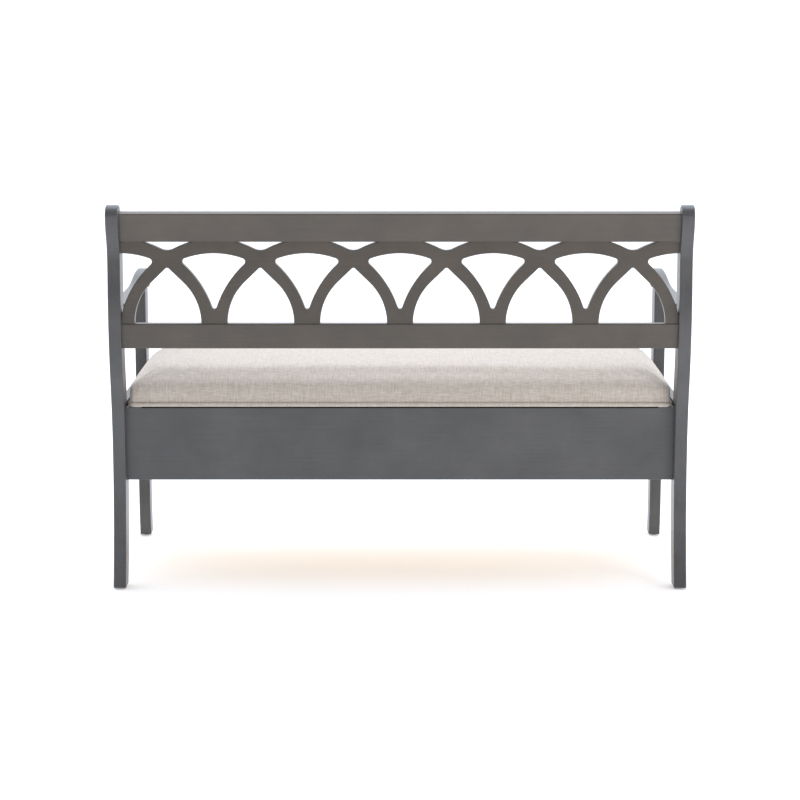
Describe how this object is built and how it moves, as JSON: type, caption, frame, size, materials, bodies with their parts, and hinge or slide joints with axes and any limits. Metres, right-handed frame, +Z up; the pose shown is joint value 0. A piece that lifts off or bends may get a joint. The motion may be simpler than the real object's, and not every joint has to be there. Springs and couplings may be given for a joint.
{
  "type": "storage bench",
  "caption": "Painted wooden storage bench with arms, a lattice back of crossing arches and an upholstered seat that lifts on a rear hinge.",
  "frame": {"origin": "on the floor, under the centre of the bench's bounding box", "axes": "+Z up, -Y towards the front where a sitter's feet are, +X towards the sitter's left, along the seat"},
  "size_m": [1.28, 0.514, 0.862],
  "materials": {
    "grey_paint": "satin pewter-grey paint over wood",
    "bare_wood": "unpainted softwood and plywood",
    "linen_fabric": "oatmeal linen weave over foam",
    "zinc_steel": "zinc-plated steel",
    "black_steel": "black-oxidised steel",
    "bumper_rubber": "matt rubber",
    "glide_plastic": "matt nylon"
  },
  "bodies": {
    "bench_frame": {"rear_post_left": "grey_paint", "rear_post_right": "grey_paint", "front_leg_left": "grey_paint", "front_leg_right": "grey_paint", "arm_left": "grey_paint", "arm_right": "grey_paint", "top_rail": "grey_paint", "lower_back_rail": "grey_paint", "back_lattice": "grey_paint", "rear_panel": "grey_paint", "front_panel": "grey_paint", "side_panel_left": "grey_paint", "side_panel_right": "grey_paint", "storage_floor": "bare_wood", "floor_cleat_rear": "bare_wood", "floor_cleat_front": "bare_wood", "floor_cleat_left": "bare_wood", "floor_cleat_right": "bare_wood", "floor_batten": "bare_wood", "lattice_dowels": "bare_wood", "cleat_screws": "zinc_steel", "hinge_leaf_box": "black_steel", "hinge_pin": "black_steel", "hinge_screws_box": "black_steel", "stay_pin_left": "zinc_steel", "stay_pin_right": "zinc_steel", "lid_bumpers": "bumper_rubber", "foot_glides": "glide_plastic"},
    "lid": {"lid_board": "bare_wood", "seat_cushion": "linen_fabric", "cushion_welt": "linen_fabric", "hinge_leaf_lid": "black_steel", "hinge_screws_lid": "black_steel", "bracket_screws": "zinc_steel", "stay_rivet_left": "zinc_steel", "stay_rivet_right": "zinc_steel", "stay_bracket_left": "zinc_steel", "stay_bracket_right": "zinc_steel"},
    "stay_left": {"stay_arm_left": "zinc_steel"},
    "stay_right": {"stay_arm_right": "zinc_steel"}
  },
  "joints": [
    {"name": "lid_hinge", "type": "hinge", "parent": "bench_frame", "child": "lid", "pos_m": [0, 0.1966, 0.4054], "axis": [-1, 0, 0], "range_deg": [0, 55]},
    {"name": "stay_left_pivot", "type": "hinge", "parent": "lid", "child": "stay_left", "pos_m": [0.60325, 0.10704, 0.39646], "axis": [-1, 0, 0], "range_deg": [-27.5, 0]},
    {"name": "stay_right_pivot", "type": "hinge", "parent": "lid", "child": "stay_right", "pos_m": [-0.60325, 0.10704, 0.39646], "axis": [-1, 0, 0], "range_deg": [-27.5, 0]}
  ],
  "couplings": [
    {"joint": "stay_left_pivot", "follows": "lid_hinge", "ratio": -0.5},
    {"joint": "stay_right_pivot", "follows": "lid_hinge", "ratio": -0.5}
  ]
}
